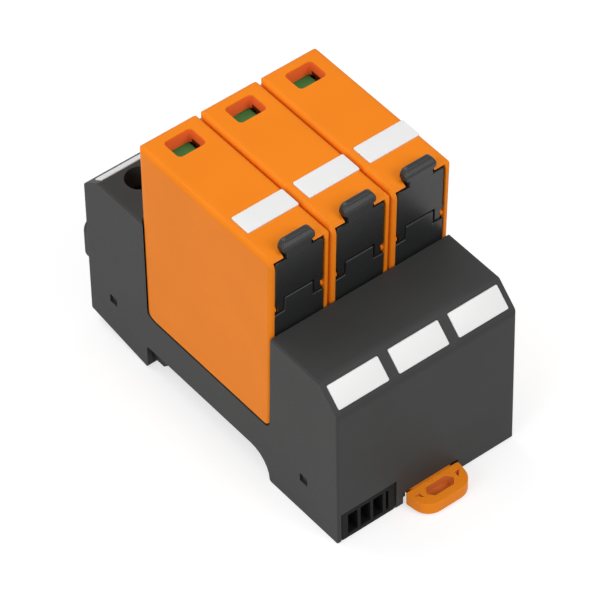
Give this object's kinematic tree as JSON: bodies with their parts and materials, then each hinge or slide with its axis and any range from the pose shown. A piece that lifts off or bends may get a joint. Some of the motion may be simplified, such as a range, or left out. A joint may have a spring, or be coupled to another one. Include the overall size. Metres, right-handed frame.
{
  "type": "din rail surge arrester",
  "caption": "Rail-mounted surge arrester: dark base with screw terminals, signal plug and release foot, and orange pull-out modules with black levers and status windows.",
  "frame": {"origin": "mid-width of the device, on the centre line of the mounting rail, in the plane where the rail's flanges seat", "axes": "+X across the poles and along the rail, +Y from the release foot to the screw terminals, +Z away from the rail"},
  "size_m": [0.054, 0.1058, 0.0789],
  "materials": {
    "housing_grey": "fine-grained moulded polyamide, satin",
    "inner_black": "moulded polyamide, matt",
    "module_orange": "moulded polyamide, satin",
    "latch_black": "moulded polyamide, satin",
    "label_white": "blank marker plate, matt",
    "flag_green": "moulded plastic, matt",
    "trip_red": "moulded plastic, matt",
    "bar_copper": "bare copper, rolled",
    "terminal_steel": "zinc-plated",
    "contact_tin": "tin-plated copper",
    "spring_steel": "drawn spring wire",
    "varistor_blue": "epoxy coating over a ceramic block",
    "board_green": "circuit board with solder mask"
  },
  "bodies": {
    "base": {"base_housing": "housing_grey", "rail_plate": "inner_black", "foot_spring": "spring_steel", "front_labels": "label_white", "rear_labels": "label_white", "signal_header": "inner_black", "header_pins": "contact_tin", "signal_board": "board_green", "microswitch": "inner_black", "link_busbar": "bar_copper", "line_busbar_1": "bar_copper", "line_busbar_2": "bar_copper", "line_busbar_3": "bar_copper"},
    "foot": {"rail_foot": "module_orange"},
    "plug": {"signal_plug": "inner_black", "plug_contacts": "contact_tin"},
    "module_1": {"module_shell_1": "module_orange", "module_carrier_1": "latch_black", "trip_plate_1": "trip_red", "trip_spring_1": "spring_steel", "varistor_1": "varistor_blue", "contact_blades_1": "contact_tin", "module_label_1": "label_white"},
    "lever_1": {"release_lever_1": "latch_black"},
    "flag_1": {"status_flag_1": "flag_green"},
    "screw_1": {"terminal_screw_1": "terminal_steel"},
    "cage_1": {"clamp_cage_1": "terminal_steel"},
    "module_2": {"module_shell_2": "module_orange", "module_carrier_2": "latch_black", "trip_plate_2": "trip_red", "trip_spring_2": "spring_steel", "varistor_2": "varistor_blue", "contact_blades_2": "contact_tin", "module_label_2": "label_white"},
    "lever_2": {"release_lever_2": "latch_black"},
    "flag_2": {"status_flag_2": "flag_green"},
    "screw_2": {"terminal_screw_2": "terminal_steel"},
    "cage_2": {"clamp_cage_2": "terminal_steel"},
    "module_3": {"module_shell_3": "module_orange", "module_carrier_3": "latch_black", "trip_plate_3": "trip_red", "trip_spring_3": "spring_steel", "varistor_3": "varistor_blue", "contact_blades_3": "contact_tin", "module_label_3": "label_white"},
    "lever_3": {"release_lever_3": "latch_black"},
    "flag_3": {"status_flag_3": "flag_green"},
    "screw_3": {"terminal_screw_3": "terminal_steel"},
    "cage_3": {"clamp_cage_3": "terminal_steel"}
  },
  "joints": [
    {"name": "foot_slide", "type": "slide", "parent": "base", "child": "foot", "axis": [0, -1, 0], "range_m": [0, 0.0045], "stiffness_N_per_m": 800, "springref_m": -0.003, "deforming": ["foot_spring"]},
    {"name": "plug_slide", "type": "slide", "parent": "base", "child": "plug", "axis": [0, -1, 0], "range_m": [0, 0.016]},
    {"name": "module_1_pull", "type": "slide", "parent": "base", "child": "module_1", "axis": [0, 0, 1], "range_m": [0, 0.06]},
    {"name": "lever_1_hinge", "type": "hinge", "parent": "module_1", "child": "lever_1", "pos_m": [-0.018, -0.02532, 0.0506], "axis": [1, 0, 0], "range_deg": [0, 14], "stiffness_Nm_per_rad": 0.02, "springref_deg": -3.44},
    {"name": "flag_1_slide", "type": "slide", "parent": "module_1", "child": "flag_1", "axis": [0, -1, 0], "range_m": [0, 0.007], "deforming": ["trip_spring_1"]},
    {"name": "screw_1_turn", "type": "hinge", "parent": "base", "child": "screw_1", "pos_m": [-0.018, 0.0342, 0.03], "axis": [0, 0, 1], "range_deg": [-3150, 0]},
    {"name": "cage_1_lift", "type": "slide", "parent": "base", "child": "cage_1", "axis": [0, 0, 1], "range_m": [0, 0.007]},
    {"name": "module_2_pull", "type": "slide", "parent": "base", "child": "module_2", "axis": [0, 0, 1], "range_m": [0, 0.06]},
    {"name": "lever_2_hinge", "type": "hinge", "parent": "module_2", "child": "lever_2", "pos_m": [0, -0.02532, 0.0506], "axis": [1, 0, 0], "range_deg": [0, 14], "stiffness_Nm_per_rad": 0.02, "springref_deg": -3.44},
    {"name": "flag_2_slide", "type": "slide", "parent": "module_2", "child": "flag_2", "axis": [0, -1, 0], "range_m": [0, 0.007], "deforming": ["trip_spring_2"]},
    {"name": "screw_2_turn", "type": "hinge", "parent": "base", "child": "screw_2", "pos_m": [0, 0.0342, 0.03], "axis": [0, 0, 1], "range_deg": [-3150, 0]},
    {"name": "cage_2_lift", "type": "slide", "parent": "base", "child": "cage_2", "axis": [0, 0, 1], "range_m": [0, 0.007]},
    {"name": "module_3_pull", "type": "slide", "parent": "base", "child": "module_3", "axis": [0, 0, 1], "range_m": [0, 0.06]},
    {"name": "lever_3_hinge", "type": "hinge", "parent": "module_3", "child": "lever_3", "pos_m": [0.018, -0.02532, 0.0506], "axis": [1, 0, 0], "range_deg": [0, 14], "stiffness_Nm_per_rad": 0.02, "springref_deg": -3.44},
    {"name": "flag_3_slide", "type": "slide", "parent": "module_3", "child": "flag_3", "axis": [0, -1, 0], "range_m": [0, 0.007], "deforming": ["trip_spring_3"]},
    {"name": "screw_3_turn", "type": "hinge", "parent": "base", "child": "screw_3", "pos_m": [0.018, 0.0342, 0.03], "axis": [0, 0, 1], "range_deg": [-3150, 0]},
    {"name": "cage_3_lift", "type": "slide", "parent": "base", "child": "cage_3", "axis": [0, 0, 1], "range_m": [0, 0.007]}
  ],
  "couplings": [
    {"joint": "screw_1_turn", "follows": "cage_1_lift", "rad_per_m": -7854},
    {"joint": "screw_2_turn", "follows": "cage_2_lift", "rad_per_m": -7854},
    {"joint": "screw_3_turn", "follows": "cage_3_lift", "rad_per_m": -7854}
  ]
}
